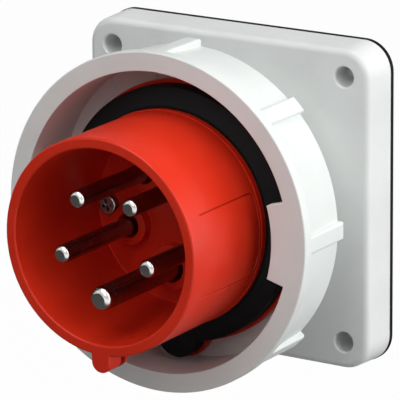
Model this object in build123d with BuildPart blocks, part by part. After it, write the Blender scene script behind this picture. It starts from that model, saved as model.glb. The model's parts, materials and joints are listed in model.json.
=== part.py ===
from build123d import *
from math import cos, degrees, radians, sin, sqrt
import os

# Panel mount appliance inlet: square flange with a round neck, a plug sleeve with five contacts,
# and a bayonet ring that turns on the neck. The axis is Y, the front faces -Y, Z is up, and the
# origin is on the axis in the plane of the panel. Heights are measured forward from the panel.

# Clearances
seat_gap = 0.05  # between pieces that are pushed or screwed together
loose_gap = 0.3  # round a boss in its notch, a screw in its hole
turn_gap = 0.5  # radial, between the ring and the neck it turns on
face_gap = 0.3  # axial, between the ring and the faces that trap it

# Flange and gasket
flange_width = 109.4
flange_corner_r = 10.0
flange_depth = 13.6
flange_draft = 2.5  # degrees
flange_edge_r = 2.2
flange_wall = 3.4
flange_hole_inset = 9.7  # from the flange's side to the middle of a hole
flange_hole_r = 3.5
flange_hole_chamfer = 0.4
flange_boss_r = 6.8
flange_rib_t = 2.4
gasket_t = 1.5
gasket_overhang = 0.2

# Plug sleeve
sleeve_r = 35.9
sleeve_depth = 45.3  # from the rim to the floor
sleeve_rim_wall = 3.6
sleeve_floor_wall = 5.7
sleeve_rim_edge_r = 0.7
floor_t = 4.6
floor_rise = 5.1  # of the floor over the collar's front
floor_fillet_r = 0.8
collar_over = 3.4  # how far the collar stands out over the neck
collar_t = 3.5
collar_edge_r = 0.5
spigot_t = 3.0
spigot_length = 6.4
bead_height = 0.5
bead_width = 1.2
bead_gap = 1.5  # between the bead and the seal behind it

# Neck, with the shoulder behind the ring and the tabs that stop it
neck_length = 37.9  # from the panel to the sleeve's collar
neck_over = 4.6  # how far the neck stands out over the sleeve
neck_wall = 4.3
neck_bevel = 0.6
shoulder_over = 2.6
shoulder_t = 3.2
stop_half_angle = 6.0
stop_rise = 2.4

# Key at six o'clock on the sleeve
key_width = 7.2
key_reach = 5.9
key_length = 10.5
key_groove_depth = 0.5
key_groove_width = 2.6
key_groove_setback = 6.4

# Outlined field on the side of the sleeve, measured back from the rim
field_half_angle = 22.5
field_setback = 5.5
field_length = 33.5
field_line = 0.5
field_depth = 0.25

# Contacts
contact_inset = 13.1  # from the sleeve's bore at the floor to the middle of a contact
phase_r = 3.0
phase_setback = 2.0  # of the tip behind the rim
phase_body_r = 5.0
phase_wire_r = 2.9
earth_r = 4.0
earth_reach = 0.5  # of the tip in front of the rim
earth_body_r = 5.6
earth_wire_r = 3.4
tip_edge_r = 1.1
contact_seat_depth = 0.2  # of the turned seat for the seal ring
window_gap = 1.0  # radial room round a contact in the sleeve's floor
window_wall = 2.7
window_rise = 4.0
contact_flange_over = 0.4
contact_flange_t = 3.0
terminal_length = 47.8  # behind the contact's flange
wire_depth = 17.0

# Seals
seal_inset = 1.0  # from the collar's edge
seal_edge_t = 5.5
seal_rise = 7.7
seal_lip_t = 1.0
joint_seal_r = 0.9
pin_seal_rise = 1.4

# Contact carrier
carrier_room = 2.15  # between its disc and the sleeve's spigot
carrier_disc_t = 7.6
carrier_cover = 2.0  # how far the chambers reach behind the terminals
chamber_wall = 1.6
carrier_hub_r = 7.5
carrier_hub_wall = 2.2
carrier_web_t = 2.6

# Screws through the sleeve's floor into bosses inside the neck
sleeve_screw_r = 2.0
sleeve_screw_inset = 4.6  # from the sleeve's bore at the floor
sleeve_screw_length = 15.0
sleeve_screw_head_r = 3.4
sleeve_screw_head_t = 2.4
neck_boss_wall = 1.6
neck_boss_length = 18.0
neck_web_t = 3.0

# Screws through the carrier into bosses behind the sleeve's floor
carrier_screw_r = 1.5
carrier_screw_inset = 4.6  # from the edge of the carrier's disc
carrier_screw_length = 6.5
carrier_screw_head_r = 2.8
carrier_screw_head_t = 2.0
sleeve_boss_wall = 1.9
sleeve_boss_length = 4.6

# Screws and plates that clamp the wires
terminal_screw_r = 2.0
terminal_screw_head_r = 3.1
terminal_screw_head_t = 2.4
terminal_screw_setback = 6.5  # from the mouth of the wire bore
plate_t = 0.8
plate_length = 9.0
plate_inset = 0.7

# Heads and blind holes of all the screws
head_edge_r = 0.6
recess_t = 0.8
recess_depth = 1.2
hole_spare = 1.5

# Bayonet ring
ring_reach = 18.0  # of its front over the collar's front
ring_room = 6.5  # between its bore and the collar, for the connector's hood
ring_wall = 6.5
ring_taper = 2.4
ring_lip = 3.8
ring_step = 0.9
ring_flange_t = 2.6
ring_edge_r = 0.5
ring_rib_count = 8
ring_rib_width = 6.0
lug_rise = 6.3
lug_half_angle = 16.0
lug_t = 3.5
pad_rise = 0.4
pad_width = 4.8
pad_middle_angle = 138.2
pad_half_angle = 10.5
notch_depth = 0.5
notch_middle_angle = -76.5
notch_half_angle = 3.0
ring_travel = 45.0  # degrees

# Radii that follow from the sizes above
flange_hole_spacing = flange_width - 2 * flange_hole_inset
sleeve_floor_bore_r = sleeve_r - sleeve_floor_wall
contact_circle_r = sleeve_floor_bore_r - contact_inset
sleeve_screw_circle_r = sleeve_floor_bore_r - sleeve_screw_inset
neck_r = sleeve_r + neck_over
neck_bore_r = neck_r - neck_wall
shoulder_r = neck_r + shoulder_over
collar_r = neck_r + collar_over
seal_r = collar_r - seal_inset
spigot_r = neck_bore_r - seat_gap
carrier_r = spigot_r - spigot_t - carrier_room
carrier_screw_circle_r = carrier_r - carrier_screw_inset
ring_flange_bore_r = neck_r + turn_gap
ring_bore_r = collar_r + ring_room
ring_r = ring_bore_r + ring_wall
ring_back_r = ring_r - ring_taper
lug_bore_r = ring_bore_r - lug_rise
neck_boss_r = sleeve_screw_r + neck_boss_wall
sleeve_boss_r = carrier_screw_r + sleeve_boss_wall

# Heights that follow, from the panel forward
flange_back = gasket_t
flange_front = flange_back + flange_depth
neck_front = neck_length
collar_front = neck_front + collar_t
floor_height = collar_front + floor_rise
floor_back = floor_height - floor_t
rim_height = floor_height + sleeve_depth
bead_back = collar_front + seal_rise + bead_gap
contact_seat_front = floor_height + window_rise + loose_gap
spigot_back = floor_back - spigot_length
carrier_front = floor_back - seat_gap
carrier_disc_back = carrier_front - carrier_disc_t
contact_flange_back = carrier_front - contact_flange_t
contact_back = contact_flange_back - terminal_length
carrier_back = contact_back - carrier_cover
terminal_screw_height = contact_back + terminal_screw_setback
neck_boss_back = carrier_front - neck_boss_length
ring_flange_front = neck_front - face_gap
ring_front = collar_front + ring_reach
ring_back = ring_flange_front - ring_flange_t
shoulder_front = ring_back - face_gap
shoulder_back = shoulder_front - shoulder_t

# Name, angle in degrees seen from the front, shank, tip height, terminal body, wire bore
phase_sizes = (phase_r, rim_height - phase_setback, phase_body_r, phase_wire_r)
earth_sizes = (earth_r, rim_height + earth_reach, earth_body_r, earth_wire_r)
contacts = [
    ("earth_pin", -90.0, *earth_sizes),
    ("phase_pin_1", -162.0, *phase_sizes),
    ("phase_pin_2", 126.0, *phase_sizes),
    ("phase_pin_3", 54.0, *phase_sizes),
    ("neutral_pin", -18.0, *phase_sizes),
]
sleeve_screw_angles = (0.0, 180.0)
carrier_screw_angles = (90.0, -54.0, -126.0)
stop_angles = (90.0, 270.0)
lug_angles = (0.0, 180.0)

# The half section of what is turned about the axis: x is radius, y is height
section = Plane(origin=(0, 0, 0), x_dir=(1, 0, 0), z_dir=(0, 0, -1))


def outward(angle):
    """The direction from the axis at an angle seen from the front."""
    return Vector(cos(radians(angle)), 0, sin(radians(angle)))


def across(height):
    """Parallel to the panel and seen from the front, at a height forward of it."""
    return Plane.XZ.offset(height)


def station(angle, circle_r, height):
    """Parallel to the panel, centred on a place on a circle, with x pointing outward."""
    place = outward(angle) * circle_r - Vector(0, height, 0)
    return Plane(origin=place, x_dir=outward(angle), z_dir=(0, -1, 0))


def half_section(angle, circle_r):
    """Through a place on a circle: x is outward from that place, y is height."""
    side = (sin(radians(angle)), 0, -cos(radians(angle)))
    return Plane(origin=outward(angle) * circle_r, x_dir=outward(angle), z_dir=side)


def line_through(angle, circle_r):
    """The line parallel to the main axis through a place on a circle."""
    return Axis(outward(angle) * circle_r, (0, 1, 0))


def facing_out(angle, radius, height):
    """Faces away from the axis: x runs along the tangent, y is height."""
    place = outward(angle) * radius - Vector(0, height, 0)
    tangent = (-sin(radians(angle)), 0, cos(radians(angle)))
    return Plane(origin=place, x_dir=tangent, z_dir=outward(angle))


class Outline(BaseSketchObject):
    """A half section, filled from its corners."""

    def __init__(self, *points, mode=Mode.ADD):
        with BuildSketch() as shape:
            with BuildLine():
                Polyline(*points, close=True)
            make_face()
        super().__init__(obj=shape.sketch, rotation=0, align=None, mode=mode)


class Sector(BaseSketchObject):
    """A piece of a flat ring."""

    def __init__(self, inner_r, outer_r, middle, half_angle, mode=Mode.ADD):
        start = middle - half_angle
        with BuildSketch() as shape:
            with BuildLine():
                outer = CenterArc((0, 0), outer_r, start, 2 * half_angle)
                inner = CenterArc((0, 0), inner_r, start, 2 * half_angle)
                Line(outer @ 0, inner @ 0)
                Line(outer @ 1, inner @ 1)
            make_face()
        super().__init__(obj=shape.sketch, rotation=0, align=None, mode=mode)


def cross_recess(head_r):
    """The two slots in a screw's head."""
    Rectangle(head_r * 1.2, recess_t)
    Rectangle(recess_t, head_r * 1.2)


def finish(piece, label):
    piece.part.label = label
    export_step(piece.part, f"parts/{label}.step")


os.makedirs("parts", exist_ok=True)

# Housing: a flange that is hollow and ribbed behind, and the neck that carries ring and sleeve
with BuildPart() as flange_housing:
    with BuildSketch(across(flange_back)):
        RectangleRounded(flange_width, flange_width, flange_corner_r)
    extrude(amount=flange_depth, taper=flange_draft)
    fillet(flange_housing.faces().sort_by(Axis.Y)[0].edges(), flange_edge_r)
    hollow_width = flange_width - 2 * flange_wall
    hollow_depth = flange_depth - flange_wall
    with BuildSketch(across(flange_back)):
        RectangleRounded(hollow_width, hollow_width, flange_corner_r - flange_wall)
    extrude(amount=hollow_depth, taper=flange_draft, mode=Mode.SUBTRACT)
    with BuildSketch(across(flange_back)):
        with GridLocations(flange_hole_spacing, flange_hole_spacing, 2, 2):
            Circle(flange_boss_r)
        Rectangle(flange_width - flange_wall, flange_rib_t)
        Rectangle(flange_rib_t, flange_width - flange_wall)
        diagonal = flange_hole_spacing * sqrt(2)
        Rectangle(diagonal, flange_rib_t, rotation=45)
        Rectangle(diagonal, flange_rib_t, rotation=-45)
    extrude(amount=hollow_depth)
    with BuildSketch(across(flange_back)):
        with GridLocations(flange_hole_spacing, flange_hole_spacing, 2, 2):
            Circle(flange_hole_r)
    extrude(amount=flange_depth, mode=Mode.SUBTRACT)
    front_face = flange_housing.faces().sort_by(Axis.Y)[0]
    chamfer(front_face.inner_wires().edges(), flange_hole_chamfer)
    with BuildSketch(section):
        Outline(
            (neck_bore_r, flange_back),
            (neck_r, flange_back),
            (neck_r, shoulder_back - (shoulder_r - neck_r)),
            (shoulder_r, shoulder_back),
            (shoulder_r, shoulder_front),
            (neck_r, shoulder_front),
            (neck_r, neck_front - neck_bevel),
            (neck_r - neck_bevel, neck_front),
            (neck_bore_r, neck_front),
        )
    revolve(axis=Axis.Y)
    with BuildSketch(across(flange_back)):
        Circle(neck_bore_r)
    extrude(amount=flange_depth, mode=Mode.SUBTRACT)
    # Tabs that stop the ring at both ends of its travel
    with BuildSketch(across(shoulder_front)):
        for angle in stop_angles:
            Sector(neck_r - neck_bevel, neck_r + stop_rise, angle, stop_half_angle)
    extrude(amount=ring_flange_t)
    # Groove for the seal ring under the sleeve's collar
    groove_r = neck_r - neck_wall / 2
    with BuildSketch(section):
        with Locations((groove_r, neck_front)):
            Rectangle(2 * (joint_seal_r + seat_gap), 4 * (joint_seal_r + seat_gap))
    revolve(axis=Axis.Y, mode=Mode.SUBTRACT)
    # Screw bosses, each on a web from the neck
    for angle in sleeve_screw_angles:
        with BuildSketch(station(angle, sleeve_screw_circle_r, neck_boss_back)):
            Circle(neck_boss_r)
        extrude(amount=neck_boss_length)
        web_length = neck_bore_r + seat_gap - sleeve_screw_circle_r
        with BuildSketch(station(angle, sleeve_screw_circle_r, neck_boss_back)):
            Rectangle(web_length, neck_web_t, align=(Align.MIN, Align.CENTER))
        extrude(amount=spigot_back - loose_gap - neck_boss_back)
        screw_end = floor_height - sleeve_screw_length - hole_spare
        with BuildSketch(station(angle, sleeve_screw_circle_r, screw_end)):
            Circle(sleeve_screw_r + seat_gap)
        extrude(amount=neck_front - screw_end + floor_t, mode=Mode.SUBTRACT)
finish(flange_housing, "flange_housing")

# Gasket between flange and panel
with BuildPart() as flange_gasket:
    gasket_width = flange_width + 2 * gasket_overhang
    with BuildSketch(across(0)):
        RectangleRounded(gasket_width, gasket_width, flange_corner_r + gasket_overhang)
        Circle(neck_bore_r, mode=Mode.SUBTRACT)
        with GridLocations(flange_hole_spacing, flange_hole_spacing, 2, 2):
            Circle(flange_hole_r, mode=Mode.SUBTRACT)
    extrude(amount=gasket_t)
finish(flange_gasket, "flange_gasket")

# Plug sleeve: sleeve, floor, collar and spigot are one moulding
with BuildPart() as plug_sleeve:
    with BuildSketch(section) as sleeve_section:
        Outline(
            (0, floor_back),
            (spigot_r - spigot_t, floor_back),
            (spigot_r - spigot_t, spigot_back),
            (spigot_r, spigot_back),
            (spigot_r, neck_front),
            (collar_r, neck_front),
            (collar_r, collar_front),
            (sleeve_r, collar_front),
            (sleeve_r, rim_height),
            (sleeve_r - sleeve_rim_wall, rim_height),
            (sleeve_floor_bore_r, floor_height),
            (0, floor_height),
        )
        fillet(sleeve_section.vertices().sort_by(Axis.X)[-2:], collar_edge_r)
        floor_corner = sleeve_section.vertices().group_by(Axis.Y)[-2].sort_by(Axis.X)[-1]
        fillet(floor_corner, floor_fillet_r)
        fillet(sleeve_section.vertices().group_by(Axis.Y)[-1], sleeve_rim_edge_r)
    revolve(axis=Axis.Y)
    # Bead round the foot of the sleeve, in front of the seal
    with BuildSketch(section):
        with BuildLine():
            bead_front = bead_back + bead_width
            bead_arc = ThreePointArc(
                (sleeve_r, bead_back),
                (sleeve_r + bead_height, bead_back + bead_width / 2),
                (sleeve_r, bead_front),
            )
            Polyline(
                bead_arc @ 1,
                (sleeve_r - bead_height, bead_front),
                (sleeve_r - bead_height, bead_back),
                bead_arc @ 0,
            )
        make_face()
    revolve(axis=Axis.Y)
    # Key at six o'clock, round at its outer end, with a groove down each side
    key_end_r = sleeve_r + key_reach - key_width / 2
    key_root_r = sleeve_r - sleeve_rim_wall / 2
    with BuildSketch(across(rim_height)):
        with Locations((0, -key_end_r)):
            Circle(key_width / 2)
            Rectangle(key_width, key_end_r - key_root_r, align=(Align.CENTER, Align.MIN))
    extrude(amount=-key_length)
    groove_front = rim_height - key_groove_setback
    with BuildSketch(across(groove_front)):
        with Locations((-key_width / 2, -sleeve_r), (key_width / 2, -sleeve_r)):
            Rectangle(2 * key_groove_depth, 2 * key_reach, align=(Align.CENTER, Align.MAX))
    extrude(amount=-key_groove_width, mode=Mode.SUBTRACT)
    # Outlined field at three o'clock
    field_front = rim_height - field_setback
    field_back = field_front - field_length
    field_line_angle = degrees(field_line / sleeve_r) / 2
    with BuildSketch(across(field_back)):
        for angle in (-field_half_angle, field_half_angle):
            Sector(sleeve_r - field_depth, sleeve_r + field_depth, angle, field_line_angle)
    extrude(amount=field_front - field_back, mode=Mode.SUBTRACT)
    for height in (field_back, field_front - field_line):
        with BuildSketch(across(height)):
            Sector(sleeve_r - field_depth, sleeve_r + field_depth, 0, field_half_angle)
        extrude(amount=field_line, mode=Mode.SUBTRACT)
    # A tubular window round each contact
    for name, angle, shank_r, tip, body_r, wire_r in contacts:
        with BuildSketch(station(angle, contact_circle_r, floor_back + floor_t / 2)):
            Circle(shank_r + window_gap + window_wall)
        extrude(amount=floor_t / 2 + window_rise)
        with BuildSketch(station(angle, contact_circle_r, floor_back)):
            Circle(shank_r + window_gap)
        extrude(amount=floor_t + window_rise, mode=Mode.SUBTRACT)
    for angle in sleeve_screw_angles:
        with BuildSketch(station(angle, sleeve_screw_circle_r, floor_back)):
            Circle(sleeve_screw_r + loose_gap)
        extrude(amount=floor_t, mode=Mode.SUBTRACT)
    # Bosses behind the floor for the screws that hold the carrier
    for angle in carrier_screw_angles:
        with BuildSketch(station(angle, carrier_screw_circle_r, floor_back)):
            Circle(sleeve_boss_r)
        extrude(amount=-sleeve_boss_length)
        screw_tip = carrier_disc_back + carrier_screw_length
        with BuildSketch(station(angle, carrier_screw_circle_r, screw_tip + hole_spare)):
            Circle(carrier_screw_r + seat_gap)
        extrude(amount=floor_back - sleeve_boss_length - screw_tip - hole_spare, mode=Mode.SUBTRACT)
finish(plug_sleeve, "plug_sleeve")

# Lip seal on the collar, for the front of the coupled connector
with BuildPart() as front_seal:
    seal_foot = collar_front + seat_gap
    seal_bore_r = sleeve_r + seat_gap
    with BuildSketch(section):
        Outline(
            (seal_bore_r, seal_foot),
            (seal_r, seal_foot),
            (seal_r, seal_foot + seal_edge_t),
            (seal_bore_r + seal_lip_t, collar_front + seal_rise),
            (seal_bore_r, collar_front + seal_rise),
        )
    revolve(axis=Axis.Y)
finish(front_seal, "front_seal")

# Seal ring between neck and collar
with BuildPart() as neck_seal:
    with BuildSketch(section):
        with Locations((groove_r, neck_front - seat_gap - joint_seal_r)):
            Circle(joint_seal_r)
    revolve(axis=Axis.Y)
finish(neck_seal, "neck_seal")

# Carrier: a disc behind the sleeve's floor, with a chamber for each contact's terminal
with BuildPart() as contact_carrier:
    with BuildSketch(across(carrier_disc_back)):
        Circle(carrier_r)
    extrude(amount=carrier_disc_t)
    with BuildSketch(across(carrier_back)):
        Circle(carrier_hub_r)
        for name, angle, shank_r, tip, body_r, wire_r in contacts:
            with Locations(Location((0, 0, 0), (0, 0, 1), angle)):
                Rectangle(contact_circle_r, carrier_web_t, align=(Align.MIN, Align.CENTER))
                with Locations((contact_circle_r, 0)):
                    Circle(body_r + seat_gap + chamber_wall)
        Circle(carrier_hub_r - carrier_hub_wall, mode=Mode.SUBTRACT)
    extrude(amount=carrier_disc_back - carrier_back)
    for name, angle, shank_r, tip, body_r, wire_r in contacts:
        with BuildSketch(station(angle, contact_circle_r, carrier_back)):
            Circle(body_r + seat_gap)
        extrude(amount=carrier_front - carrier_back, mode=Mode.SUBTRACT)
        with BuildSketch(station(angle, contact_circle_r, contact_flange_back - seat_gap)):
            Circle(body_r + contact_flange_over + seat_gap)
        extrude(amount=contact_flange_t + seat_gap, mode=Mode.SUBTRACT)
        with BuildSketch(facing_out(angle, contact_circle_r, terminal_screw_height)):
            Circle(terminal_screw_head_r + loose_gap)
        extrude(amount=body_r + 2 * chamber_wall, mode=Mode.SUBTRACT)
    # Notches for the bosses and webs inside the neck
    for angle in sleeve_screw_angles:
        with BuildSketch(station(angle, sleeve_screw_circle_r, carrier_disc_back)):
            Circle(neck_boss_r + loose_gap)
            notch_width = 2 * (neck_boss_r + loose_gap)
            Rectangle(carrier_r, notch_width, align=(Align.MIN, Align.CENTER))
        extrude(amount=carrier_disc_t, mode=Mode.SUBTRACT)
    # Pockets for the sleeve's bosses, and the screw holes behind them
    for angle in carrier_screw_angles:
        pocket_floor = floor_back - sleeve_boss_length - loose_gap
        with BuildSketch(station(angle, carrier_screw_circle_r, pocket_floor)):
            Circle(sleeve_boss_r + seat_gap)
        extrude(amount=carrier_front - pocket_floor, mode=Mode.SUBTRACT)
        with BuildSketch(station(angle, carrier_screw_circle_r, carrier_disc_back)):
            Circle(carrier_screw_r + loose_gap)
        extrude(amount=carrier_disc_t / 2, mode=Mode.SUBTRACT)
finish(contact_carrier, "contact_carrier")

for name, angle, shank_r, tip, body_r, wire_r in contacts:
    # Contact: shank, flange and tubular terminal, turned from one bar
    with BuildPart() as contact:
        flange_r = body_r + contact_flange_over
        with BuildSketch(half_section(angle, contact_circle_r)):
            Outline(
                (0, tip),
                (shank_r, tip),
                (shank_r, contact_seat_front),
                (shank_r - contact_seat_depth, contact_seat_front),
                (shank_r - contact_seat_depth, carrier_front),
                (flange_r, carrier_front),
                (flange_r, contact_flange_back),
                (body_r, contact_flange_back),
                (body_r, contact_back),
                (wire_r, contact_back),
                (wire_r, contact_back + wire_depth),
                (0, contact_back + wire_depth),
            )
        revolve(axis=line_through(angle, contact_circle_r))
        tip_edge = contact.edges().filter_by(GeomType.CIRCLE).group_by(Axis.Y)[0]
        fillet(tip_edge, tip_edge_r)
        with BuildSketch(facing_out(angle, contact_circle_r, terminal_screw_height)):
            Circle(terminal_screw_r + seat_gap)
        extrude(amount=body_r, mode=Mode.SUBTRACT)
    finish(contact, name)

    # Seal ring on its seat round the shank, in the window
    with BuildPart() as pin_seal:
        seal_room = window_gap + contact_seat_depth
        with BuildSketch(half_section(angle, contact_circle_r)):
            with Locations((shank_r + window_gap - seal_room / 2, floor_back + pin_seal_rise)):
                Circle(seal_room / 2 - seat_gap)
        revolve(axis=line_through(angle, contact_circle_r))
    finish(pin_seal, f"{name}_seal")

    # Plate that the terminal screw presses on the wire
    plate_top = wire_r - plate_inset
    plate_width = 2 * (sqrt(wire_r**2 - plate_top**2) - loose_gap)
    with BuildPart() as wire_clamp:
        plate_r = contact_circle_r + plate_top - plate_t
        with BuildSketch(facing_out(angle, plate_r, terminal_screw_height)):
            Rectangle(plate_width, plate_length)
        extrude(amount=plate_t)
    finish(wire_clamp, f"{name}_wire_clamp")

# One clamping screw for each terminal
with BuildPart() as terminal_screws:
    for name, angle, shank_r, tip, body_r, wire_r in contacts:
        tip_r = contact_circle_r + wire_r - plate_inset + seat_gap
        head_r = contact_circle_r + body_r + loose_gap
        with BuildSketch(facing_out(angle, tip_r, terminal_screw_height)):
            Circle(terminal_screw_r)
        extrude(amount=head_r - tip_r)
        with BuildSketch(facing_out(angle, head_r, terminal_screw_height)):
            Circle(terminal_screw_head_r)
        extrude(amount=terminal_screw_head_t)
        head_top = head_r + terminal_screw_head_t
        with BuildSketch(facing_out(angle, head_top, terminal_screw_height)):
            Rectangle(2 * terminal_screw_head_r, recess_t)
        extrude(amount=-recess_depth, mode=Mode.SUBTRACT)
finish(terminal_screws, "terminal_screws")

# Screws that hold the sleeve on the neck
with BuildPart() as sleeve_screws:
    for angle in sleeve_screw_angles:
        with BuildSketch(station(angle, sleeve_screw_circle_r, floor_height)):
            Circle(sleeve_screw_r)
        extrude(amount=-sleeve_screw_length)
        with BuildSketch(station(angle, sleeve_screw_circle_r, floor_height)):
            Circle(sleeve_screw_head_r)
        extrude(amount=sleeve_screw_head_t)
    fillet(sleeve_screws.edges().group_by(Axis.Y)[0], head_edge_r)
    for angle in sleeve_screw_angles:
        head_top = floor_height + sleeve_screw_head_t
        with BuildSketch(station(angle, sleeve_screw_circle_r, head_top)):
            cross_recess(sleeve_screw_head_r)
        extrude(amount=-recess_depth, mode=Mode.SUBTRACT)
finish(sleeve_screws, "sleeve_screws")

# Screws that hold the carrier on the sleeve
with BuildPart() as carrier_screws:
    for angle in carrier_screw_angles:
        with BuildSketch(station(angle, carrier_screw_circle_r, carrier_disc_back)):
            Circle(carrier_screw_r)
        extrude(amount=carrier_screw_length)
        with BuildSketch(station(angle, carrier_screw_circle_r, carrier_disc_back)):
            Circle(carrier_screw_head_r)
        extrude(amount=-carrier_screw_head_t)
    fillet(carrier_screws.edges().group_by(Axis.Y)[-1], head_edge_r)
    for angle in carrier_screw_angles:
        head_top = carrier_disc_back - carrier_screw_head_t
        with BuildSketch(station(angle, carrier_screw_circle_r, head_top)):
            cross_recess(carrier_screw_head_r)
        extrude(amount=recess_depth, mode=Mode.SUBTRACT)
finish(carrier_screws, "carrier_screws")

# Bayonet ring: front lip, tapered body with ribs, two lugs, and the flange that is trapped
with BuildPart() as bayonet_ring:
    with BuildSketch(section) as ring_section:
        Outline(
            (ring_flange_bore_r, ring_back),
            (ring_back_r, ring_back),
            (ring_r - ring_step, ring_front - ring_lip),
            (ring_r, ring_front - ring_lip),
            (ring_r, ring_front),
            (ring_bore_r, ring_front),
            (ring_bore_r, ring_flange_front),
            (ring_flange_bore_r, ring_flange_front),
        )
        front_corner = ring_section.vertices().group_by(Axis.Y)[-1].sort_by(Axis.X)[-1]
        fillet(front_corner, ring_edge_r)
    revolve(axis=Axis.Y)
    with BuildSketch(across(ring_back)):
        with PolarLocations(ring_back_r, ring_rib_count):
            Rectangle(2 * (ring_r - ring_back_r) + ring_rib_width, ring_rib_width)
        Circle(ring_r, mode=Mode.INTERSECT)
        Circle((ring_bore_r + ring_back_r) / 2, mode=Mode.SUBTRACT)
    extrude(amount=ring_front - ring_lip - ring_back)
    with BuildSketch(across(ring_front)):
        for angle in lug_angles:
            Sector(lug_bore_r, (ring_bore_r + ring_r) / 2, angle, lug_half_angle)
    extrude(amount=-lug_t)
    # Low pads on the front of the trapped flange, round the outside
    with BuildSketch(across(ring_flange_front)):
        for angle in (pad_middle_angle, pad_middle_angle + 180):
            Sector(ring_bore_r - pad_width, (ring_bore_r + ring_r) / 2, angle, pad_half_angle)
    extrude(amount=pad_rise)
    # Shallow notches beside them
    with BuildSketch(across(ring_flange_front)):
        for angle in (notch_middle_angle, notch_middle_angle + 180):
            Sector(lug_bore_r, ring_bore_r, angle, notch_half_angle)
    extrude(amount=-notch_depth, mode=Mode.SUBTRACT)
    # Slots that ride over the stop tabs for the whole of the travel
    stop_gap_angle = degrees(face_gap / neck_r)
    with BuildSketch(across(ring_back)):
        for angle in stop_angles:
            Sector(
                ring_flange_bore_r - turn_gap,
                neck_r + stop_rise + turn_gap,
                angle + ring_travel / 2,
                ring_travel / 2 + stop_half_angle + stop_gap_angle,
            )
    extrude(amount=ring_flange_t, mode=Mode.SUBTRACT)
finish(bayonet_ring, "bayonet_ring")
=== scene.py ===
import json

import bmesh
import bpy
import numpy as np
from mathutils import Matrix, Vector


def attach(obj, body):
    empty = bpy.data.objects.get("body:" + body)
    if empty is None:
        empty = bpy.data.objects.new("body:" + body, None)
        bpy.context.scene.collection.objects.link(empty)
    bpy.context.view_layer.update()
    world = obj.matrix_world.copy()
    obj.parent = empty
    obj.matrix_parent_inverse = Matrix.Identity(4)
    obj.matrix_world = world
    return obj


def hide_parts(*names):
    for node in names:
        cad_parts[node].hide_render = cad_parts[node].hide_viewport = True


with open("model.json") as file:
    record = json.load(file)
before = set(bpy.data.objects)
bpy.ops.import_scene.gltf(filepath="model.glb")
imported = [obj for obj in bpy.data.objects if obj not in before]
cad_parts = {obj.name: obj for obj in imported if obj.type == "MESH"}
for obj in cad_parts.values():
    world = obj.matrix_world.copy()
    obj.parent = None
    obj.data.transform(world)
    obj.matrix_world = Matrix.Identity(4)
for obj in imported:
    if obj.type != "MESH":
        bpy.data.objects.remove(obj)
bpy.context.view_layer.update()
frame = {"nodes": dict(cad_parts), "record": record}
print("frame loaded:", len(frame["nodes"]), "nodes")

# Sizes are in millimetres and angles in degrees, seen from the front. A height is measured
# forward from the panel, so a point is (radius * cos, -height, radius * sin) in the frame.
mm = 0.001

cameraSet = {
    "target": (-45.42, 39.24, -22.42),
    "distance": 1369.8,
    "azimuth": 32.565,
    "elevation": 15.710,
    "roll": -0.5165,
    "lens": 350.61,
    "sensor": 36,
    "clip": (100, 20000),
}


def addCamera(size):
    # back points from the target to the camera; right and up are turned by the roll
    azimuth, elevation, roll = np.radians([size["azimuth"], size["elevation"], size["roll"]])
    flat = np.cos(elevation)
    back = Vector((np.sin(azimuth) * flat, -np.cos(azimuth) * flat, np.sin(elevation)))
    level = Vector((np.cos(azimuth), np.sin(azimuth), 0))
    upright = back.cross(level)
    right = level * np.cos(roll) + upright * np.sin(roll)
    up = upright * np.cos(roll) - level * np.sin(roll)
    near, far = size["clip"]
    data = bpy.data.cameras.new("camera")
    data.lens, data.sensor_width = size["lens"], size["sensor"]
    data.clip_start, data.clip_end = near * mm, far * mm
    camera = bpy.data.objects.new("camera", data)
    spot = (Vector(size["target"]) + back * size["distance"]) * mm
    turned = Matrix((right, up, back)).transposed().to_4x4()
    camera.matrix_world = Matrix.Translation(spot) @ turned
    bpy.context.scene.collection.objects.link(camera)
    bpy.context.scene.camera = camera


addCamera(cameraSet)
bpy.context.scene.view_settings.view_transform = "Standard"
print("camera placed")


class Wire:
    # wraps a node's output that is a number: + - * on it add Math nodes
    def __init__(self, finish, socket):
        self.finish = finish
        self.socket = socket

    def combine(self, operation, first, second):
        return self.finish.node("Math", {"operation": operation}, {0: first, 1: second})

    def __add__(self, other):
        return self.combine("ADD", self, other)

    def __radd__(self, other):
        return self.combine("ADD", other, self)

    def __sub__(self, other):
        return self.combine("SUBTRACT", self, other)

    def __rsub__(self, other):
        return self.combine("SUBTRACT", other, self)

    def __mul__(self, other):
        return self.combine("MULTIPLY", self, other)

    def __rmul__(self, other):
        return self.combine("MULTIPLY", other, self)


def full(value):
    # a colour of three numbers gets its alpha
    return (*value, 1.0) if isinstance(value, tuple) and len(value) == 3 else value


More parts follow.
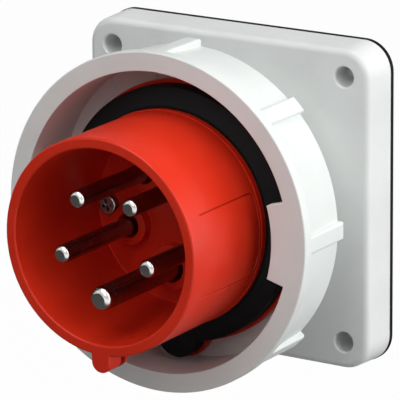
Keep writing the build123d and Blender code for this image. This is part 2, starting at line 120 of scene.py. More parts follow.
class Finish:
    # the nodes of a material or of the world, and one method that adds any of them
    def __init__(self, owner):
        self.owner = owner
        owner.use_nodes = True
        self.tree = owner.node_tree
        self.tree.nodes.clear()

    def node(self, kind, settings=None, values=None, output=0):
        made = self.tree.nodes.new("ShaderNode" + kind)
        for key, value in (settings or {}).items():
            setattr(made, key, value)
        for key, value in (values or {}).items():
            if isinstance(value, Wire):
                self.tree.links.new(value.socket, made.inputs[key])
            else:
                made.inputs[key].default_value = value
        return Wire(self, made.outputs[output] if len(made.outputs) else None)

    def mixed(self, share, first, second):
        # sockets 6 and 7 take the colours, and output 2 gives the mixed one
        values = {0: share, 6: full(first), 7: full(second)}
        return self.node("Mix", {"data_type": "RGBA"}, values, 2)

    def spot(self):
        return self.node("TexCoord", output="Object")

    def marked(self, name):
        # the number that addPiece gave each point under this name
        return self.node("Attribute", {"attribute_name": name}, output="Fac")

    def grain(self, size, detail, rough=0.5):
        # noise with lumps about size millimetres wide
        scale = 1 / (size * mm)
        values = {"Vector": self.spot(), "Scale": scale, "Detail": detail, "Roughness": rough}
        return self.node("TexNoise", {}, values)

    def eased(self, value, low, high, toHigh=1.0):
        # 0 up to low, toHigh from high on, and a smooth step between
        settings = {"interpolation_type": "SMOOTHSTEP"}
        return self.node("MapRange", settings, {0: value, 1: low, 2: high, 3: 0.0, 4: toHigh})

    def bumped(self, height, depth):
        return self.node("Bump", {}, {"Height": height, "Distance": depth * mm, "Strength": 1.0})

    def done(self, values):
        values = {key: full(value) for key, value in values.items()}
        shader = self.node("BsdfPrincipled", {}, values)
        self.node("OutputMaterial", {}, {"Surface": shader})
        return self.owner


housingLook = {
    "light": (0.735, 0.750, 0.740), "dark": (0.685, 0.700, 0.690),
    "roughness": 0.46, "grain": 0.42, "depth": 0.016, "gloss": 0.4,
}
ringLook = {
    "light": (0.752, 0.782, 0.766), "dark": (0.708, 0.737, 0.722),
    "roughness": 0.42, "grain": 0.36, "depth": 0.012, "gloss": 0.4,
}
sleeveLook = {
    "light": (0.690, 0.030, 0.010), "dark": (0.625, 0.024, 0.007),
    "roughness": 0.30, "grain": 0.30, "depth": 0.005, "gloss": 0.2,
    # line: a dark red painted into the field's shallow line and the key's groove, as painted shade in
    # these recesses
    "line": (0.20, 0.006, 0.002), "lineShadeShare": 0.55,
}
carrierLook = {
    "light": (0.055, 0.056, 0.060), "dark": (0.040, 0.041, 0.044),
    "roughness": 0.50, "grain": 0.40, "depth": 0.015, "gloss": 0.5,
}
mouldedSkin = {
    "driftSize": 24, "drift": (0.3, 0.7),
    "fleckSize": 1.8, "flecks": (0.62, 0.75), "fleckShare": 0.10,
    "patchSize": 7, "patchRough": 0.10, "grainRough": 0.06,
}


def mouldedPlastic(name, look, skin):
    # colour drifts over centimetres, the spark-eroded skin is fine bump, and the roughness varies a
    # little; where the piece is marked as line, the colour turns towards the dark line colour, which
    # is painted shade in the sleeve's shallow line and in the key's groove
    finish = Finish(bpy.data.materials.new(name))
    grain = finish.grain(look["grain"], 3.0, 0.6)
    drift = finish.eased(finish.grain(skin["driftSize"], 3.0), *skin["drift"])
    flecks = finish.eased(finish.grain(skin["fleckSize"], 2.0), *skin["flecks"])
    base = finish.mixed(drift, look["dark"], look["light"])
    base = finish.mixed(skin["fleckShare"] * flecks, base, look["dark"])
    if "line" in look:
        # painted shade: the base colour darkens on the marked line and groove
        base = finish.mixed(look["lineShadeShare"] * finish.marked("line"), base, look["line"])
    patches = finish.grain(skin["patchSize"], 3.0) - 0.5
    rough = look["roughness"] + skin["patchRough"] * patches + skin["grainRough"] * (grain - 0.5)
    return finish.done({
        "Base Color": base,
        "Roughness": rough,
        "Normal": finish.bumped(grain, look["depth"]),
        "Specular IOR Level": look["gloss"],
    })


sealLook = {
    "light": (0.0085, 0.0085, 0.009), "dark": (0.0045, 0.0045, 0.005),
    "roughness": 0.52, "grain": 0.25, "depth": 0.010, "gloss": 0.08,
    "dustSize": 6, "dust": (0.45, 0.75), "dustRough": 0.16,
}


def softRubber(name, look):
    # dull black with dust in patches and a skin of fine lumps
    finish = Finish(bpy.data.materials.new(name))
    grain = finish.grain(look["grain"], 4.0, 0.65)
    dust = finish.eased(finish.grain(look["dustSize"], 4.0, 0.6), *look["dust"])
    return finish.done({
        "Base Color": finish.mixed(dust, look["dark"], look["light"]),
        "Roughness": look["roughness"] + look["dustRough"] * dust,
        "Normal": finish.bumped(grain, look["depth"]),
        "Specular IOR Level": look["gloss"],
    })


nickelLook = {
    "light": (0.43, 0.427, 0.415), "dark": (0.36, 0.357, 0.345),
    "cloudSize": 5, "clouds": (0.35, 0.7),
    # shank: a darker colour painted on the shank as shade deep inside the sleeve
    "shank": (0.12, 0.118, 0.115), "shankShadeShare": 0.45, "shankFrom": -0.4, "shankTo": 0.6,
    "roughness": 0.10, "shankRough": 0.14, "ringRough": 0.04, "cloudRough": 0.05,
    "ringScale": 6000.0, "depth": 0.0008,
}


def turnedNickel(name, look):
    # rings left by the tool follow the length along the turned profile; the tip is polished and the
    # plating on the shank is duller; the shank's darker colour is painted shade, deep in the sleeve
    finish = Finish(bpy.data.materials.new(name))
    along = finish.marked("along")
    ringValues = {"W": along, "Scale": look["ringScale"], "Detail": 3.0}
    rings = finish.node("TexNoise", {"noise_dimensions": "1D"}, ringValues)
    cloud = finish.grain(look["cloudSize"], 3.0)
    base = finish.mixed(finish.eased(cloud, *look["clouds"]), look["dark"], look["light"])
    # painted shade: the base colour darkens from the tip back along the shank
    shank = finish.eased(along, look["shankFrom"] * mm, look["shankTo"] * mm)
    base = finish.mixed(look["shankShadeShare"] * shank, base, look["shank"])
    rough = look["roughness"] + look["shankRough"] * shank + look["ringRough"] * rings
    rough = rough + look["cloudRough"] * (cloud - 0.5)
    normal = finish.bumped(rings, look["depth"])
    return finish.done({"Base Color": base, "Roughness": rough, "Metallic": 1.0, "Normal": normal})


steelLook = {
    "light": (0.31, 0.31, 0.30), "dark": (0.22, 0.22, 0.21),
    "cloudSize": 2.2, "clouds": (0.3, 0.7),
    "roughness": 0.18, "cloudRough": 0.12, "scratchSize": 0.15, "depth": 0.004,
}


def platedSteel(name, look):
    # zinc plated steel: cloudy plating over fine scratches
    finish = Finish(bpy.data.materials.new(name))
    cloud = finish.grain(look["cloudSize"], 3.0)
    scratch = finish.grain(look["scratchSize"], 3.0, 0.7)
    base = finish.mixed(finish.eased(cloud, *look["clouds"]), look["dark"], look["light"])
    rough = look["roughness"] + look["cloudRough"] * cloud
    normal = finish.bumped(scratch, look["depth"])
    return finish.done({"Base Color": base, "Roughness": rough, "Metallic": 1.0, "Normal": normal})


finishes = {
    "housing_plastic": mouldedPlastic("housingPlastic", housingLook, mouldedSkin),
    "ring_plastic": mouldedPlastic("ringPlastic", ringLook, mouldedSkin),
    "sleeve_plastic": mouldedPlastic("sleevePlastic", sleeveLook, mouldedSkin),
    "seal_rubber": softRubber("sealRubber", sealLook),
    "carrier_plastic": mouldedPlastic("carrierPlastic", carrierLook, mouldedSkin),
    "contact_nickel": turnedNickel("contactNickel", nickelLook),
    "screw_steel": platedSteel("screwSteel", steelLook),
}
for part in frame["record"]["subparts"]:
    kept = frame["nodes"][part["node"]].data.materials
    kept.clear()
    kept.append(finishes[part["material_slot"]])
print("finishes made:", len(finishes))


def spin(radius, height, angle, centre=(0.0, 0.0)):
    # a turned surface: (centre + radius * cos angle, -height, centre + radius * sin angle), in metres
    radius, height, angle = np.broadcast_arrays(radius, height, np.radians(angle))
    across = centre[0] + radius * np.cos(angle)
    up = centre[1] + radius * np.sin(angle)
    return np.stack([across, -height, up], -1) * mm


def onCircle(radius, angle):
    # a place across and up, on a circle round the axis
    return radius * np.array([np.cos(np.radians(angle)), np.sin(np.radians(angle))])


def roundedLine(corners, step=12):
    # a line through corners (radius, height, rounding): each corner becomes an arc tangent to both
    # sides, in steps of about step degrees, or stays sharp where its rounding is 0
    corners = np.array(corners, float)
    spots, pieces = corners[:, :2], []
    for k, (spot, bend) in enumerate(zip(spots, corners[:, 2])):
        if bend == 0:
            pieces.append(spot[None])
            continue
        before, after = spots[k - 1] - spot, spots[(k + 1) % len(spots)] - spot
        before, after = before / np.hypot(*before), after / np.hypot(*after)
        half = np.arccos(np.clip(before @ after, -1, 1)) / 2
        middle = (before + after) / np.hypot(*(before + after))
        centre = spot + middle * bend / np.sin(half)
        first = spot + before * bend / np.tan(half) - centre
        last = spot + after * bend / np.tan(half) - centre
        turn = np.pi - 2 * half
        share = np.linspace(0, 1, max(2, round(np.degrees(turn) / step)) + 1)[:, None]
        arc = np.sin((1 - share) * turn) * first + np.sin(share * turn) * last
        pieces.append(centre + arc / np.sin(turn))
    return np.concatenate(pieces)


def closed(line):
    # the line with its first point again at its end
    return np.vstack([line, line[:1]])


def around(step, *marks):
    # every angle of a turn at one step, with closer angles where the shape changes
    marks = [np.ravel(mark) for mark in marks]
    angles = np.concatenate([np.arange(0, 360, step), *marks]) % 360
    return np.append(np.unique(np.round(angles, 4)), 360.0)


meshSet = {"mergeWithin": 0.002, "sharpAngle": 32}


def addPiece(name, grids, body, slot, nodes, marks=None):
    # each grid is rows by columns of points; neighbours share their edges, which are merged; marks
    # holds a number for each point, by name, for the finish to read
    points = np.concatenate([grid.reshape(-1, 3) for grid in grids])
    quads, first = [], 0
    for grid in grids:
        spots = first + np.arange(grid.shape[0] * grid.shape[1]).reshape(grid.shape[:2])
        quad = np.stack([spots[:-1, :-1], spots[:-1, 1:], spots[1:, 1:], spots[1:, :-1]], -1)
        quads.append(quad.reshape(-1, 4))
        first += spots.size
    mesh = bpy.data.meshes.new(name)
    mesh.from_pydata(points.tolist(), [], np.concatenate(quads).tolist())
    for key, values in (marks or {}).items():
        mark = mesh.attributes.new(key, "FLOAT", "POINT")
        mark.data.foreach_set("value", values.astype(np.float32))
    made = bmesh.new()
    made.from_mesh(mesh)
    bmesh.ops.remove_doubles(made, verts=made.verts, dist=meshSet["mergeWithin"] * mm)
    bmesh.ops.recalc_face_normals(made, faces=made.faces)
    made.to_mesh(mesh)
    made.free()
    mesh.shade_smooth()
    mesh.set_sharp_from_angle(angle=np.radians(meshSet["sharpAngle"]))
    mesh.materials.append(finishes[slot])
    piece = bpy.data.objects.new(name, mesh)
    bpy.context.scene.collection.objects.link(piece)
    weighted = piece.modifiers.new("weighted", "WEIGHTED_NORMAL")
    weighted.keep_sharp = True
    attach(piece, body)
    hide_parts(*nodes)
    print(name, "made,", len(mesh.polygons), "faces")


def bentBlock(inner, outer, back, front, middle, half, bend, outerBend=0.02):
    # a block bent round the axis: a rounded rectangle of radius and height, carried from end to end,
    # shrinking along a quarter circle at both ends and closed to its middle line
    across = (inner + outer) / 2
    turn = np.linspace(0, np.pi / 2, 5)
    inset = bend * (1 - np.sin(turn))
    reach = half - np.degrees(bend * (1 - np.cos(turn)) / across)
    run = np.linspace(-reach[-1], reach[-1], 33)[1:-1]
    angles = np.concatenate([-reach[:1], -reach, run, reach[::-1], reach[:1]])
    inset = np.concatenate([inset, 0 * run, inset[::-1]])
    line = closed(roundedLine([
        (inner, back, bend), (outer, back, outerBend),
        (outer, front, outerBend), (inner, front, bend),
    ]))
    centre = np.array([across, (back + front) / 2])
    size = np.array([(outer - inner) / 2, (front - back) / 2])
    rows = centre + (line - centre)[None] * (1 - inset[:, None, None] / size)
    end = centre + 0 * rows[:1]
    rows = np.concatenate([end, rows, end])
    return spin(rows[..., 0], rows[..., 1], (middle + angles)[:, None])


ringSet = {
    "bore": 50.4, "outer": 56.9, "front": 59.4, "frontRound": 0.5, "boreRound": 0.3,
    "lip": 3.8, "lipRound": 0.12, "lipFoot": 0.15, "lipZone": 0.2,
    "bodyFront": 56.0, "bodyBack": 54.5, "back": 35.0, "backRound": 0.35, "draft": (0.05, 0.6),
    "flangeBore": 41.0, "flangeFront": 37.6, "flangeRound": 0.2,
    "ribs": 8, "ribHalf": 3.0, "ribRound": 0.9, "ribFoot": 0.4,
    "lugBore": 44.1, "lugHalf": 16.0, "lugDeep": 3.5, "lugRound": 0.3, "lugSunk": 0.25,
    "slot": 43.4, "slotFrom": 83.58, "slotTo": 141.42, "cutSlope": 0.03,
    "padInner": 45.6, "padMiddle": 138.2, "padHalf": 10.5, "padRise": 0.25, "padRound": 0.12,
    "padSunk": 0.4, "padFoot": 0.6,
    "notchMiddle": 103.5, "notchHalf": 3.0, "notchDeep": 0.5, "notchSlope": 0.05,
    # where the mesh has lines beside a rib's side, as distances into the rib
    "ribSteps": (
        -0.8, -0.4, -0.28, -0.16, -0.06, -0.01, 0.01, 0.04, 0.1, 0.18, 0.3, 0.44, 0.6, 0.76, 0.9, 1.2,
    ),
}


def bayonetRing(size):
    # the profile turned round the axis; where a rib stands, the radius is that of the rib, whose
    # edges are quarter circles of the distance to its side; the trapped flange has two long slots
    # cut from its bore and two shallow notches sunk in its front; lugs and pads are bent blocks
    front, back, face, outer = size["front"], size["back"], size["flangeFront"], size["outer"]
    lipBack = front - size["lip"]
    over, ahead = size["draft"]
    line = closed(roundedLine([
        (size["flangeBore"], back, size["flangeRound"]),
        (size["bodyBack"], back, size["backRound"]),
        (size["bodyBack"] + over, back + ahead, 0),
        (size["bodyFront"], lipBack, size["lipFoot"]),
        (outer, lipBack, size["lipRound"]),
        (outer, front, size["frontRound"]),
        (size["bore"], front, size["boreRound"]),
        (size["bore"], face, size["boreRound"]),
        (size["lugBore"] + size["notchSlope"], face, 0),
        (size["lugBore"] - size["notchSlope"], face, 0),
        (size["flangeBore"], face, size["flangeRound"]),
    ], 10))
    ribStep = 360 / size["ribs"]
    ribMiddles = np.arange(size["ribs"]) * ribStep
    edge = np.degrees((size["ribHalf"] - np.array(size["ribSteps"])) / outer)
    ribMarks = ribMiddles[:, None, None] + np.array([-1, 1])[None, :, None] * edge
    notch, notchHalf = size["notchMiddle"], size["notchHalf"]
    sides = np.array([size["slotFrom"], size["slotTo"], notch - notchHalf, notch + notchHalf])
    sideMarks = np.concatenate([sides - size["cutSlope"], sides + size["cutSlope"]])
    angles = around(1.0, ribMarks, sideMarks, sideMarks + 180)
    radius, height = line[:, :1], line[:, 1:]
    # ribs: inside is the distance from a rib's side towards its middle
    away = np.abs((angles + ribStep / 2) % ribStep - ribStep / 2)
    inside = size["ribHalf"] - np.radians(away) * outer
    bend, foot = size["ribRound"], size["ribFoot"]
    drop = bend - np.sqrt(bend**2 - np.clip(bend - inside, 0, bend) ** 2)
    rise = foot - np.sqrt(foot**2 - np.clip(foot + inside, 0, foot) ** 2)
    start = np.clip(height - back, 0, bend)
    rear = bend - np.sqrt(bend**2 - (bend - start) ** 2)
    beside = np.minimum(radius + rise, outer - bend)
    rib = np.where(inside > 0, outer - np.maximum(drop, rear), beside)
    # the side that carries the ribs, with the roundings at its back and under the lip
    body = (height <= lipBack + size["lipZone"]) & (radius > size["bodyBack"] - 0.36)
    outline = np.where(body, np.maximum(radius, rib), radius + 0 * rib)
    # slots and notches of the flange, which repeat after half a turn
    turned = angles % 180
    slotted = (turned > size["slotFrom"]) & (turned < size["slotTo"])
    outline = np.where(slotted, np.maximum(outline, size["slot"]), outline)
    notched = np.abs(turned - notch) < notchHalf
    # the flange's front from the lugs' bore out, with the rounding at the ring's bore
    onFace = (height > face - 0.1) & (height < face + 0.31)
    onFace = onFace & (radius > size["lugBore"]) & (radius < size["bore"] + 0.01)
    height = height - size["notchDeep"] * (notched & onFace)
    grids = [spin(outline, height, angles)]
    for middle in (0, 180):
        grids.append(bentBlock(
            size["lugBore"], size["bore"] + size["lugSunk"], front - size["lugDeep"], front,
            middle, size["lugHalf"], size["lugRound"],
        ))
    for middle in (size["padMiddle"], size["padMiddle"] + 180):
        grids.append(bentBlock(
            size["padInner"], size["bore"] + size["padSunk"], face - size["padFoot"],
            face + size["padRise"], middle, size["padHalf"], size["padRound"],
        ))
    addPiece("bayonetRing", grids, "locking_ring", "ring_plastic", ["bayonet_ring"])


bayonetRing(ringSet)

# the contacts stand on one circle, and the sleeve's floor has a window for each
contactCircle = 17.1
earthForm = {"shank": 4.0, "tip": 92.3, "body": 5.6, "wire": 3.4}
phaseForm = {"shank": 3.0, "tip": 89.8, "body": 5.0, "wire": 2.9}
contacts = {
    "earth_pin": (-90.0, earthForm),
    "phase_pin_1": (-162.0, phaseForm),
    "phase_pin_2": (126.0, phaseForm),
    "phase_pin_3": (54.0, phaseForm),
    "neutral_pin": (-18.0, phaseForm),
}
# at six o'clock the collar and the seal reach further out, along a circle below the key
keyLobe = {"centre": 41.0, "radius": 8.7, "wall": 36.95, "sealInset": 0.9}
sleeveSet = {
    "wall": 35.9, "rim": 91.8, "rimBore": 32.3, "rimRound": 0.7,
    "floor": 46.5, "floorBack": 41.9, "floorBore": 30.2, "floorRound": 0.35, "floorEdge": 29.0,
    "collar": 43.9, "collarBack": 37.9, "collarFront": 41.4, "collarRound": 0.5,
    "spigot": 36.15, "spigotBore": 33.15, "spigotBack": 35.5, "spigotRound": 0.3,
    "beadBack": 50.6, "beadWidth": 1.2, "beadRise": 0.3,
    "keyEnd": 38.2, "keyHalf": 3.6, "keyBack": 81.3, "keyBackRound": 0.5,
    "grooveHalf": 2.5, "grooveBack": 82.8, "grooveFront": 85.4, "grooveShade": 2,
    "fieldHalf": 22.5, "fieldBack": 53.05, "fieldFront": 86.05, "fieldCorner": 2.6,
    "fieldDeep": 0.22, "lineHalf": 0.32, "lineSlope": 0.14,
    "windowTop": 50.5, "windowWall": 2.7, "windowGap": 1.0, "sectorHalf": 36,
    "bossCircle": 26.4, "bossAngles": (90.0, -54.0, -126.0),
    "bossLine": ((0, 42.6), (3.4, 42.6), (3.4, 37.3), (1.55, 37.3), (1.55, 42.25), (0, 42.25)),
    # where the mesh has lines beside the field's edge, as distances outside it
    "fieldSteps": (
        -3.0, -2.7, -2.4, -2.1, -1.8, -1.5, -1.2, -0.9, -0.6, -0.34, -0.24, -0.14,
        0, 0.14, 0.24, 0.34, 0.6,
    ),
    "grooveSteps": (-0.12, -0.04, 0.04, 0.12),
}


def offKey(angles):
    # how far an angle is from six o'clock, in radians
    return np.radians(np.abs((angles + 90 + 180) % 360 - 180))


def sleeveOutline(size, angles, inset, half, keyed):
    # the larger of the round wall and the key: inside the key's end circle the ray meets that circle,
    # beside it the ray meets the flat side; inset shrinks both for the rounded rim
    off = offKey(angles)
    end = size["keyHalf"] - inset
    beside = size["keyEnd"] * np.sin(off)
    circle = size["keyEnd"] * np.cos(off) + np.sqrt(np.clip(end**2 - beside**2, 0, None))
    side = np.maximum(np.sin(off), 1e-6)
    key = np.where(np.tan(off) < end / size["keyEnd"], circle, end / side)
    key = np.where((off < 1.0) & keyed, np.minimum(key, (half - inset) / side), 0)
    return np.maximum(size["wall"] - inset, key)


def lobed(radius, angles, outer, lobe, inset):
    # radius, or further out where the ray from the axis meets the lobe's circle at six o'clock; what
    # lies inside the round edge outer is moved out in proportion, from the sleeve's wall on
    off = offKey(angles)
    end = lobe["radius"] - inset
    beside = lobe["centre"] * np.sin(off)
    reach = lobe["centre"] * np.cos(off) + np.sqrt(np.clip(end**2 - beside**2, 0, None))
    reach = np.where((beside < end) & (off < 1), np.maximum(reach, outer), outer)
    share = np.clip((radius - lobe["wall"]) / (outer - lobe["wall"]), 0, None)
    return radius + (reach - outer) * share


def fieldLine(size, angles, heights):
    # a shallow line along a rounded rectangle, unrolled: 1 on the line, 0 beside it; the line fades
    # towards the rim, over the first millimetre of the field's front corners
    across = np.radians((angles + 180) % 360 - 180) * size["wall"]
    up = heights - (size["fieldBack"] + size["fieldFront"]) / 2
    wide = np.radians(size["fieldHalf"]) * size["wall"] - size["fieldCorner"]
    tall = (size["fieldFront"] - size["fieldBack"]) / 2 - size["fieldCorner"]
    over, beyond = np.abs(across) - wide, np.abs(up) - tall
    outside = np.hypot(np.maximum(over, 0), np.maximum(beyond, 0))
    away = outside + np.minimum(np.maximum(over, beyond), 0) - size["fieldCorner"]
    share = np.clip((size["lineHalf"] - np.abs(away)) / size["lineSlope"], 0, 1)
    faded = 1 - np.clip(up - tall, 0, 1)
    return faded * share * share * (3 - 2 * share)


def sleeveAngles(size):
    # closer angles at the sides of the field, over the key's end, side and foot, and one between any
    # two sectors of the floor
    steps = np.array(size["fieldSteps"]) * np.degrees(1 / size["wall"])
    fieldMarks = np.concatenate([size["fieldHalf"] + steps, -size["fieldHalf"] - steps])
    tangent = np.degrees(np.arctan(size["keyHalf"] / size["keyEnd"]))
    foot = np.degrees(np.arcsin(size["keyHalf"] / size["wall"]))
    keyMarks = np.concatenate([
        tangent * np.sin(np.linspace(0, np.pi / 2, 15)),
        np.linspace(4.2, tangent, 10),
        np.linspace(tangent, foot, 9),
        [foot + 0.15, foot + 0.4],
    ])
    sectors = [angle - size["sectorHalf"] for angle, form in contacts.values()]
    return around(1.25, fieldMarks, -90 + keyMarks, -90 - keyMarks, sectors)


def floorSector(size, angle, shank, angles):
    # a fifth of the floor with a contact's window: rings of points from the sector's edge at the
    # back, through the window and over its tube, to the sector's edge in front
    low, high = angle - size["sectorHalf"], angle + size["sectorHalf"]
    wide = np.unique(np.concatenate([angles - 360, angles, angles + 360]))
    arc = wide[(wide > low - 1e-3) & (wide < high + 1e-3)]
    side = np.linspace(0, 1, 36)[:-1]
    share = np.concatenate([side, np.ones(len(arc)), side[::-1]])
    turned = np.radians(np.concatenate([side * 0 + low, arc, side * 0 + high]))
    rays = np.stack([share * np.cos(turned), share * np.sin(turned)], -1)
    centre = onCircle(contactCircle, angle)
    edge = rays * size["floorEdge"]
    toward = (edge - centre) / np.linalg.norm(edge - centre, axis=1)[:, None]
    hole = shank + size["windowGap"]
    tube = hole + size["windowWall"]
    line = roundedLine([
        (tube + 1, size["floorBack"], 0), (hole, size["floorBack"], 0.2),
        (hole, size["windowTop"], 0.25), (tube, size["windowTop"], 0.3),
        (tube, size["floor"], 0.35), (tube + 1, size["floor"], 0),
    ], 20)
    circles = centre + line[:, :1, None] * toward
    flat = np.concatenate([(rays * size["spigotBore"])[None], circles, edge[None]])
    level = np.concatenate([[size["floorBack"]], line[:, 1], [size["floor"]]])
    level = level[:, None] + 0 * flat[..., 0]
    return np.stack([flat[..., 0], -level, flat[..., 1]], -1) * mm


def plugSleeve(size):
    # one turned surface from the spigot over collar, wall and rim to the floor's edge, with the key,
    # the bead and the field's line in its radius; then the sectors of the floor and the bosses
    angles = sleeveAngles(size)
    # behind the wall: spigot and collar
    behind = roundedLine([
        (size["spigotBore"], size["floorBack"], 0),
        (size["spigotBore"], size["spigotBack"], size["spigotRound"]),
        (size["spigot"], size["spigotBack"], size["spigotRound"]),
        (size["spigot"], size["collarBack"], 0),
        (size["collar"], size["collarBack"], size["collarRound"]),
        (size["collar"], size["collarFront"], size["collarRound"]),
        (size["wall"], size["collarFront"], 0),
    ])
    onCollar = behind[:, :1] > size["spigot"] + 0.1
    outer = lobed(behind[:, :1], angles, size["collar"], keyLobe, 0)
    foot = np.where(onCollar, outer, behind[:, :1])
    # the wall from the collar to the rim
    turn = np.linspace(0, np.pi / 2, 7)
    steps = np.array(size["fieldSteps"])
    grooves = np.array([size["grooveBack"], size["grooveFront"]])
    heights = np.unique(np.round(np.concatenate([
        np.linspace(size["collarFront"] + 2, size["rim"] - size["rimRound"], 16),
        size["beadBack"] + size["beadWidth"] * np.linspace(0, 1, 9),
        size["keyBack"] + size["keyBackRound"] * (1 - np.sin(turn)),
        [size["keyBack"] - 0.01],
        (grooves[:, None] + size["grooveSteps"]).ravel(),
        size["fieldBack"] - steps,
        size["fieldFront"] + steps,
    ]), 4))
    rear = np.clip((heights - size["keyBack"]) / size["keyBackRound"], 0, 1)
    inset = size["keyBackRound"] * (1 - np.sqrt(1 - (1 - rear) ** 2))
    grooved = (heights > grooves[0]) & (heights < grooves[1])
    half = np.where(grooved, size["grooveHalf"], size["keyHalf"])
    keyed = heights > size["keyBack"] - 0.001
    plainWall = sleeveOutline(size, angles, 0 * inset[:, None], half[:, None], False)
    key = sleeveOutline(size, angles, inset[:, None], half[:, None], keyed[:, None])
    share = 2 * (heights - size["beadBack"]) / size["beadWidth"] - 1
    bead = (size["beadRise"] * np.clip(1 - share**2, 0, None))[:, None]
    line = fieldLine(size, angles, heights[:, None])
    wall = np.maximum(plainWall, key) + bead - size["fieldDeep"] * line
    # the rounded rim
    inset = size["rimRound"] * (1 - np.cos(turn))
    rim = sleeveOutline(size, angles, inset[:, None], size["keyHalf"], True)
    rimHeights = size["rim"] - size["rimRound"] * (1 - np.sin(turn))
    # inside; the first corner only says where the rim's rounding comes from
    bore = roundedLine([
        (size["rimBore"] + 2, size["rim"], 0),
        (size["rimBore"], size["rim"], size["rimRound"]),
        (size["floorBore"], size["floor"], size["floorRound"]),
        (size["floorEdge"], size["floor"], 0),
    ])[1:]
    radius = np.concatenate([foot, wall, rim, bore[:, :1] + 0 * angles])
    height = np.concatenate([behind[:, 1], heights, rimHeights, bore[:, 1]])[:, None]
    grids = [spin(radius, height, angles)]
    for angle, form in contacts.values():
        grids.append(floorSector(size, angle, form["shank"], angles))
    # bosses behind the floor
    boss = np.array(size["bossLine"])
    for angle in size["bossAngles"]:
        centre = onCircle(size["bossCircle"], angle)
        grids.append(spin(boss[:, :1], boss[:, 1:], np.linspace(0, 360, 41), centre))
    # the line is marked for the finish, and so is the groove in the key; the finish paints shade into
    # the base colour there
    marked = 0 * radius
    shade = size["grooveShade"] * (grooved[:, None] & (key > plainWall))
    marked[len(foot):len(foot) + len(line)] = line + shade
    plain = np.zeros(sum(grid.size // 3 for grid in grids[1:]))
    marks = {"line": np.concatenate([marked.ravel(), plain])}
    addPiece("plugSleeve", grids, "inlet", "sleeve_plastic", ["plug_sleeve"], marks)


plugSleeve(sleeveSet)

pinSet = {
    "tipRound": 0.55, "seatDeep": 0.2, "seatFront": 50.8,
    "flangeFront": 41.85, "flangeBack": 38.85, "flangeOver": 0.4, "flangeRound": 0.15,
    "back": -8.95, "backRound": 0.3, "wireRound": 0.4, "wireDeep": 17.0,
}


def contactPin(node, angle, form, size):
    # the profile of the contact turned about its own axis; along is the distance down the profile,
    # from where the shank starts, so it is negative on the tip
    shank, tip, body, wire = form["shank"], form["tip"], form["body"], form["wire"]
    bend = size["tipRound"] * shank
    seat, flange = shank - size["seatDeep"], body + size["flangeOver"]
    wireEnd = size["back"] + size["wireDeep"]
    line = roundedLine([
        (0, tip, 0), (shank, tip, bend), (shank, size["seatFront"], 0),
        (seat, size["seatFront"], 0), (seat, size["flangeFront"], 0),
        (flange, size["flangeFront"], size["flangeRound"]),
        (flange, size["flangeBack"], size["flangeRound"]),
        (body, size["flangeBack"], 0), (body, size["back"], size["backRound"]),
        (wire, size["back"], size["wireRound"]), (wire, wireEnd, 0), (0, wireEnd, 0),
    ], 9)
    step = np.hypot(*np.diff(line, axis=0).T)
    tipLength = shank - bend + bend * np.pi / 2
    along = (np.concatenate([[0], np.cumsum(step)]) - tipLength) * mm
    angles = np.linspace(0, 360, 97)
    grid = spin(line[:, :1], line[:, 1:], angles, onCircle(contactCircle, angle))
    marks = {"along": np.repeat(along, len(angles))}
    addPiece(node + "Contact", [grid], "inlet", "contact_nickel", [node], marks)


for node, (angle, form) in contacts.items():
    contactPin(node, angle, form, pinSet)

sealSet = {"bore": 35.95, "outer": 42.9, "lip": 36.95, "back": 41.45, "edge": 46.95, "front": 49.1}


def frontSeal(size):
    # the lip seal's profile turned round the axis
    line = closed(roundedLine([
        (size["bore"], size["back"], 0.05), (size["outer"], size["back"], 0.1),
        (size["outer"], size["edge"], 0.3), (size["lip"], size["front"], 0.3),
        (size["bore"], size["front"], 0.2),
    ]))
    angles = np.linspace(0, 360, 361)
    radius = lobed(line[:, :1], angles, size["outer"], keyLobe, keyLobe["sealInset"])
    grid = spin(radius, line[:, 1:], angles)
    addPiece("frontSeal", [grid], "inlet", "seal_rubber", ["front_seal"])


frontSeal(sealSet)

screwSet = {
    "circle": 25.6, "shank": 2.0, "length": 15.0, "endRound": 0.5,
    "seat": 46.5, "head": 3.4, "headDeep": 2.4, "headFoot": 0.1, "headRound": 0.6,
    "slotHalf": 0.42, "slotReach": 2.05, "slotDeep": 1.2, "slotTurn": 20,
    "slotSide": 0.12, "slotEnd": 0.5,
}


def sleeveScrews(size):
    # shank and head are turned; the top of the head sinks where either slot of the cross runs
    seat, top = size["seat"], size["seat"] + size["headDeep"]
    line = roundedLine([
        (0, seat - size["length"], 0), (size["shank"], seat - size["length"], size["endRound"]),
        (size["shank"], seat, 0), (size["head"], seat, size["headFoot"]),
        (size["head"], top, size["headRound"]), (size["slotReach"] + 0.4, top, 0),
    ])
    flat = np.linspace(size["slotReach"] + 0.35, 0, 50)
    line = np.vstack([line, np.stack([flat, np.full(50, top)], -1)])
    angles = np.linspace(0, 360, 145)
    across = line[:, :1] * np.cos(np.radians(angles - size["slotTurn"]))
    up = line[:, :1] * np.sin(np.radians(angles - size["slotTurn"]))

    def sunk(beside, length):
        # 1 inside a slot, easing to 0 over its sloping sides and ends
        side = (size["slotHalf"] - np.abs(beside)) / size["slotSide"]
        end = (size["slotReach"] - np.abs(length)) / size["slotEnd"]
        return np.clip(np.minimum(side, end), 0, 1)

    onTop = line[:, 1:] > top - 0.001
    depth = np.maximum(sunk(across, up), sunk(up, across)) * onTop * size["slotDeep"]
    grids = []
    for side in (1, -1):
        centre = (side * size["circle"], 0.0)
        grids.append(spin(line[:, :1], line[:, 1:] - depth, angles, centre))
    addPiece("sleeveScrews", grids, "inlet", "screw_steel", ["sleeve_screws"])


sleeveScrews(screwSet)

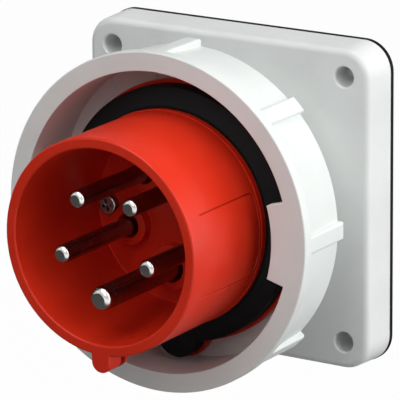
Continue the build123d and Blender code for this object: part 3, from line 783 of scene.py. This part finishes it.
studioSet = {
    "floorLevel": -220.0, "floorReach": 4000.0,
    "floorColour": (0.34, 0.34, 0.34),
    "floorShare": {"Is Camera Ray": 0.96, "Is Glossy Ray": 0.80, "Is Transmission Ray": 0.96},
    "floorGlow": {"Is Camera Ray": 1.02, "Is Glossy Ray": 0.10, "Is Transmission Ray": 1.02},
    "roomGlow": {"Is Camera Ray": 1.0, "Is Glossy Ray": 0.08, "Is Transmission Ray": 1.0},
    "ambient": 0.03,
    # what polished metal mirrors: a bright room in front, above and to the right, and a bright
    # floor in front and to the right
    "roomSide": (0.35, -0.75, 0.55), "roomFrom": 0.25, "roomTo": 0.60, "roomMirror": 1.3,
    "floorSide": (0.7, -0.4, 0.0), "floorFrom": 0.12, "floorTo": 0.34, "floorMirror": 2.5,
    "lampAim": (0, -40, 0),
    "lamps": {
        # name: (place, width, height, power in watts)
        "above": ((0, -100, 1100), 700, 700, 5.2),
        "aboveFront": ((0, -800, 900), 700, 700, 3.7),
        "aboveRight": ((800, -300, 800), 700, 700, 1.9),
        "frontHigh": ((300, -1000, 600), 600, 600, 2.0),
        "right": ((1100, -100, 250), 900, 1100, 4.9),
        "behindRight": ((900, 500, 300), 600, 900, 7.8),
        "left": ((-900, -800, 300), 700, 700, 1.4),
    },
}


def seenBy(finish, shares):
    # a number for each kind of ray that looks at a surface, and 0 for rays that only light the object
    return sum(share * finish.node("LightPath", output=kind) for kind, share in shares.items())


def mirrored(finish, side, low, high, glow):
    # light for reflections only, growing along one direction of the room or of the floor
    settings = {"operation": "DOT_PRODUCT"}
    toward = finish.node("VectorMath", settings, {0: finish.spot(), 1: side}, "Value")
    return finish.eased(toward, low, high, glow) * finish.node("LightPath", output="Is Glossy Ray")


def addFloor(size):
    # the floor looks white to the camera; metal sees it dark, but for its bright side
    finish = Finish(bpy.data.materials.new("floorPaint"))
    paint = finish.node("BsdfDiffuse", {}, {"Color": full(size["floorColour"])})
    side, mirror = size["floorSide"], size["floorMirror"]
    shine = mirrored(finish, side, size["floorFrom"], size["floorTo"], mirror)
    strength = seenBy(finish, size["floorGlow"]) + shine
    glow = finish.node("Emission", {}, {"Color": (1, 1, 1, 1), "Strength": strength})
    share = seenBy(finish, size["floorShare"])
    both = finish.node("MixShader", {}, {0: share, 1: paint, 2: glow})
    finish.node("OutputMaterial", {}, {"Surface": both})
    level, far = size["floorLevel"] * mm, size["floorReach"] * mm
    corners = [(-far, -far, level), (far, -far, level), (far, far, level), (-far, far, level)]
    mesh = bpy.data.meshes.new("floor")
    mesh.from_pydata(corners, [], [(0, 1, 2, 3)])
    mesh.materials.append(finish.owner)
    floor = bpy.data.objects.new("floor", mesh)
    bpy.context.scene.collection.objects.link(floor)


def addLamps(size):
    # soft rectangles of light that face the object and that the camera doesn't see
    aim = Vector(size["lampAim"])
    for name, (place, width, height, power) in size["lamps"].items():
        data = bpy.data.lights.new(name, "AREA")
        data.shape = "RECTANGLE"
        data.size, data.size_y, data.energy = width * mm, height * mm, power
        lamp = bpy.data.objects.new(name, data)
        lamp.location = Vector(place) * mm
        lamp.rotation_euler = (aim - Vector(place)).to_track_quat("-Z", "Y").to_euler()
        lamp.visible_camera = False
        bpy.context.scene.collection.objects.link(lamp)


def addRoom(size):
    # the room looks white to the camera and lights the object only faintly; metal sees it dark, but
    # for its bright side
    room = Finish(bpy.data.worlds.new("room"))
    side, mirror = size["roomSide"], size["roomMirror"]
    shine = mirrored(room, side, size["roomFrom"], size["roomTo"], mirror)
    plain = {0: seenBy(room, size["roomGlow"]), 1: size["ambient"]}
    strength = room.node("Math", {"operation": "MAXIMUM"}, plain) + shine
    sky = room.node("Background", {}, {"Color": (1, 1, 1, 1), "Strength": strength})
    room.node("OutputWorld", {}, {"Surface": sky})
    bpy.context.scene.world = room.owner


addFloor(studioSet)
addLamps(studioSet)
addRoom(studioSet)
print("studio lit")
